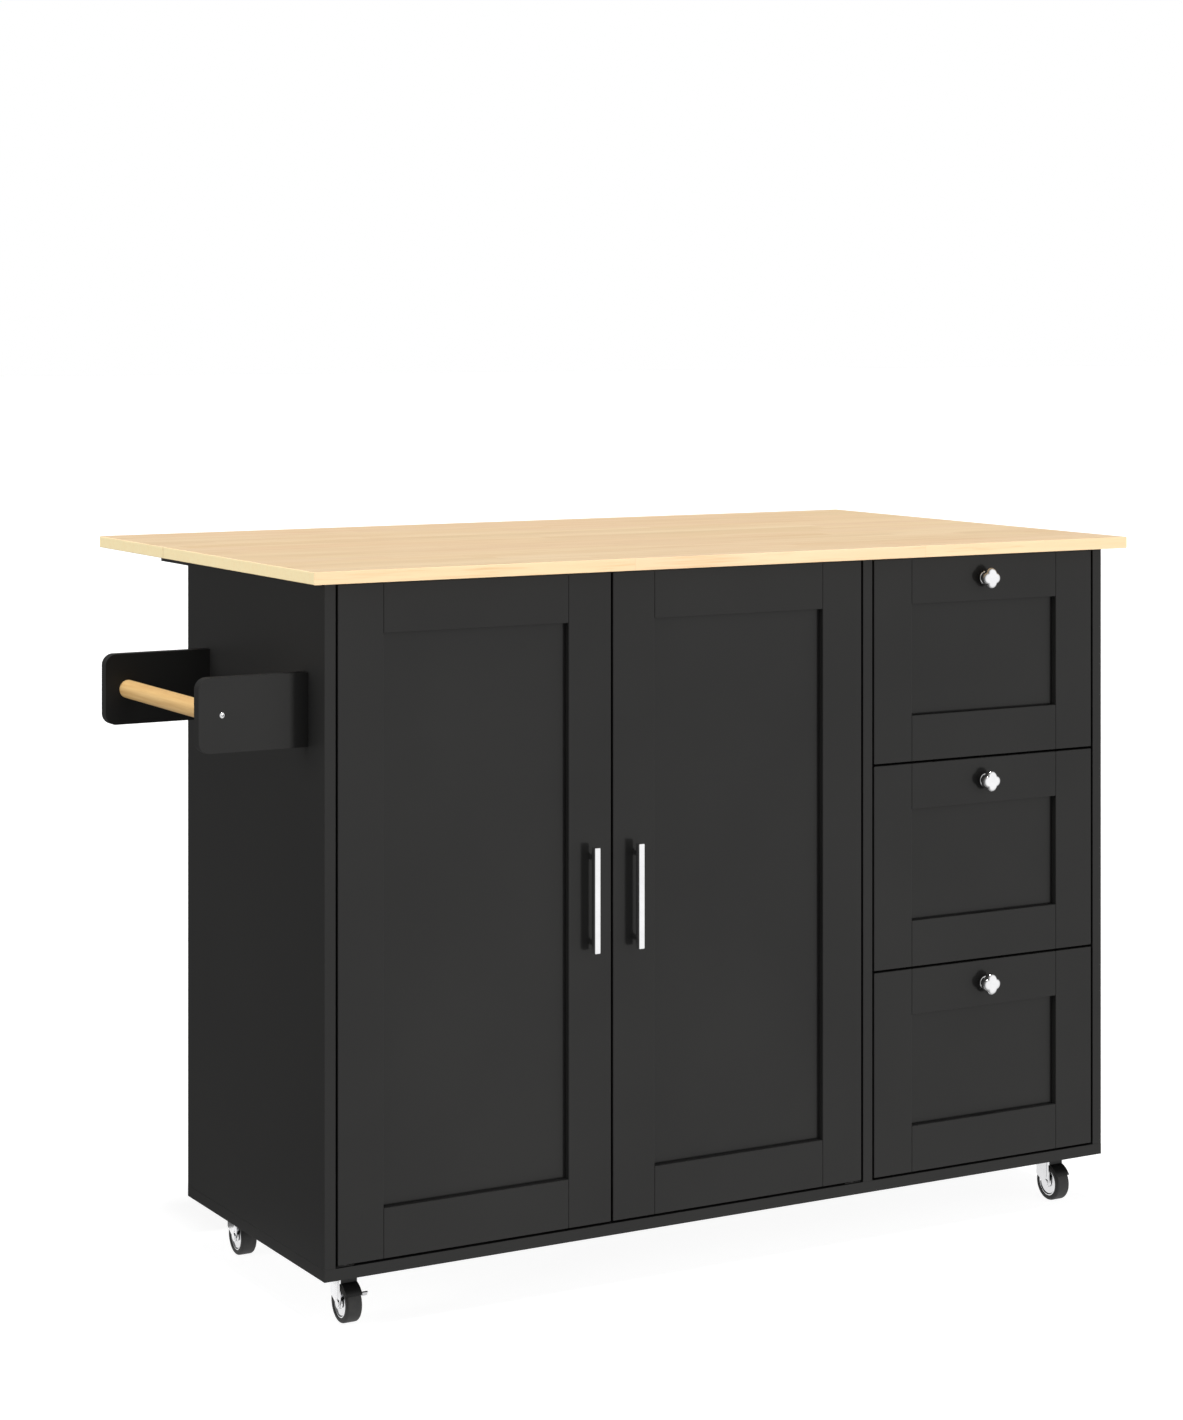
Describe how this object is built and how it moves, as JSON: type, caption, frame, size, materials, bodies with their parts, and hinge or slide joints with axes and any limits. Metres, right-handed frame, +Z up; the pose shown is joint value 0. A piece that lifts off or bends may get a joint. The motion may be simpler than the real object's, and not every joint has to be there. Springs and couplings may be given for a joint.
{
  "type": "kitchen island",
  "caption": "Rolling black cabinet under a wide butcher block top, with doors, drawers, a folding rear leaf, a towel rack and swivel casters.",
  "frame": {"origin": "on the floor, under the middle of the whole object's box", "axes": "+X to the right seen from the front, +Y to the back, +Z up; the doors and drawers face -Y"},
  "size_m": [1.387, 0.735, 0.945],
  "materials": {
    "butcher_block": "oiled, staves glued side by side",
    "dowel_wood": "oiled",
    "black_board": "satin black paint",
    "drawer_board": "dark laminate",
    "thin_board": "painted hardboard",
    "chrome": "polished",
    "zinc_steel": "zinc plated",
    "black_metal": "black powder coat",
    "brass": "plain",
    "catch_plastic": "moulded",
    "tyre": "moulded rubber"
  },
  "bodies": {
    "root": {"bottom_panel": "black_board", "left_side_panel": "black_board", "right_side_panel": "black_board", "divider_panel": "black_board", "back_panel": "thin_board", "front_top_rails": "black_board", "rear_top_rails": "black_board", "shelf": "black_board", "shelf_pins": "zinc_steel", "worktop": "butcher_block", "fixed_bracket_arms": "black_metal", "bracket_pivot_pins": "zinc_steel", "towel_arm_front": "black_board", "towel_arm_rear": "black_board", "towel_bar": "dowel_wood", "towel_bar_screws": "chrome", "door_pivot_pins": "black_metal", "door_catches": "catch_plastic", "fixed_runners": "zinc_steel", "caster_plates": "zinc_steel", "caster_screws": "zinc_steel"},
    "leaf": {"worktop_leaf": "butcher_block", "leaf_bracket_arms": "black_metal"},
    "left_door": {"left_door_frame": "black_board", "left_door_panel": "black_board", "left_door_handle": "chrome", "left_door_bushes": "brass"},
    "right_door": {"right_door_frame": "black_board", "right_door_panel": "black_board", "right_door_handle": "chrome", "right_door_bushes": "brass"},
    "lower_drawer": {"lower_drawer_front": "black_board", "lower_drawer_box": "drawer_board", "lower_drawer_bottom": "drawer_board", "lower_drawer_knob": "chrome", "lower_drawer_runners": "zinc_steel"},
    "middle_drawer": {"middle_drawer_front": "black_board", "middle_drawer_box": "drawer_board", "middle_drawer_bottom": "drawer_board", "middle_drawer_knob": "chrome", "middle_drawer_runners": "zinc_steel"},
    "upper_drawer": {"upper_drawer_front": "black_board", "upper_drawer_box": "drawer_board", "upper_drawer_bottom": "drawer_board", "upper_drawer_knob": "chrome", "upper_drawer_runners": "zinc_steel"},
    "front_left_swivel": {"front_left_fork": "chrome"},
    "front_left_roller": {"front_left_wheel": "chrome", "front_left_tyre": "tyre"},
    "front_left_brake": {"front_left_brake": "zinc_steel"},
    "front_right_swivel": {"front_right_fork": "chrome"},
    "front_right_roller": {"front_right_wheel": "chrome", "front_right_tyre": "tyre"},
    "rear_left_swivel": {"rear_left_fork": "chrome"},
    "rear_left_roller": {"rear_left_wheel": "chrome", "rear_left_tyre": "tyre"},
    "rear_right_swivel": {"rear_right_fork": "chrome"},
    "rear_right_roller": {"rear_right_wheel": "chrome", "rear_right_tyre": "tyre"},
    "rear_right_brake": {"rear_right_brake": "zinc_steel"}
  },
  "joints": [
    {"name": "leaf_fold", "type": "hinge", "parent": "root", "child": "leaf", "pos_m": [0, 0.1265, 0.922], "axis": [-1, 0, 0], "range_deg": [0, 90]},
    {"name": "left_door_turn", "type": "hinge", "parent": "root", "child": "left_door", "pos_m": [-0.5165, -0.3345, 0.505], "axis": [0, 0, -1], "range_deg": [0, 90]},
    {"name": "right_door_turn", "type": "hinge", "parent": "root", "child": "right_door", "pos_m": [0.2425, -0.3345, 0.505], "axis": [0, 0, 1], "range_deg": [0, 90]},
    {"name": "lower_drawer_slide", "type": "slide", "parent": "root", "child": "lower_drawer", "axis": [0, -1, 0], "range_m": [0, 0.26]},
    {"name": "middle_drawer_slide", "type": "slide", "parent": "root", "child": "middle_drawer", "axis": [0, -1, 0], "range_m": [0, 0.26]},
    {"name": "upper_drawer_slide", "type": "slide", "parent": "root", "child": "upper_drawer", "axis": [0, -1, 0], "range_m": [0, 0.26]},
    {"name": "front_left_swivel_turn", "type": "hinge", "parent": "root", "child": "front_left_swivel", "pos_m": [-0.4995, -0.2845, 0.058], "axis": [0, 0, 1], "continuous": true},
    {"name": "front_left_wheel_spin", "type": "hinge", "parent": "front_left_swivel", "child": "front_left_roller", "pos_m": [-0.4995, -0.3055, 0.025], "axis": [1, 0, 0], "continuous": true},
    {"name": "front_left_brake_press", "type": "hinge", "parent": "front_left_swivel", "child": "front_left_brake", "pos_m": [-0.4855, -0.2925, 0.047], "axis": [1, 0, 0], "range_deg": [0, 20]},
    {"name": "front_right_swivel_turn", "type": "hinge", "parent": "root", "child": "front_right_swivel", "pos_m": [0.6095, -0.2845, 0.058], "axis": [0, 0, 1], "continuous": true},
    {"name": "front_right_wheel_spin", "type": "hinge", "parent": "front_right_swivel", "child": "front_right_roller", "pos_m": [0.6095, -0.3055, 0.025], "axis": [1, 0, 0], "continuous": true},
    {"name": "rear_left_swivel_turn", "type": "hinge", "parent": "root", "child": "rear_left_swivel", "pos_m": [-0.4995, 0.0435, 0.058], "axis": [0, 0, 1], "continuous": true},
    {"name": "rear_left_wheel_spin", "type": "hinge", "parent": "rear_left_swivel", "child": "rear_left_roller", "pos_m": [-0.4995, 0.0225, 0.025], "axis": [1, 0, 0], "continuous": true},
    {"name": "rear_right_swivel_turn", "type": "hinge", "parent": "root", "child": "rear_right_swivel", "pos_m": [0.6095, 0.0435, 0.058], "axis": [0, 0, 1], "continuous": true},
    {"name": "rear_right_wheel_spin", "type": "hinge", "parent": "rear_right_swivel", "child": "rear_right_roller", "pos_m": [0.6095, 0.0225, 0.025], "axis": [1, 0, 0], "continuous": true},
    {"name": "rear_right_brake_press", "type": "hinge", "parent": "rear_right_swivel", "child": "rear_right_brake", "pos_m": [0.6235, 0.0355, 0.047], "axis": [1, 0, 0], "range_deg": [0, 20]}
  ]
}
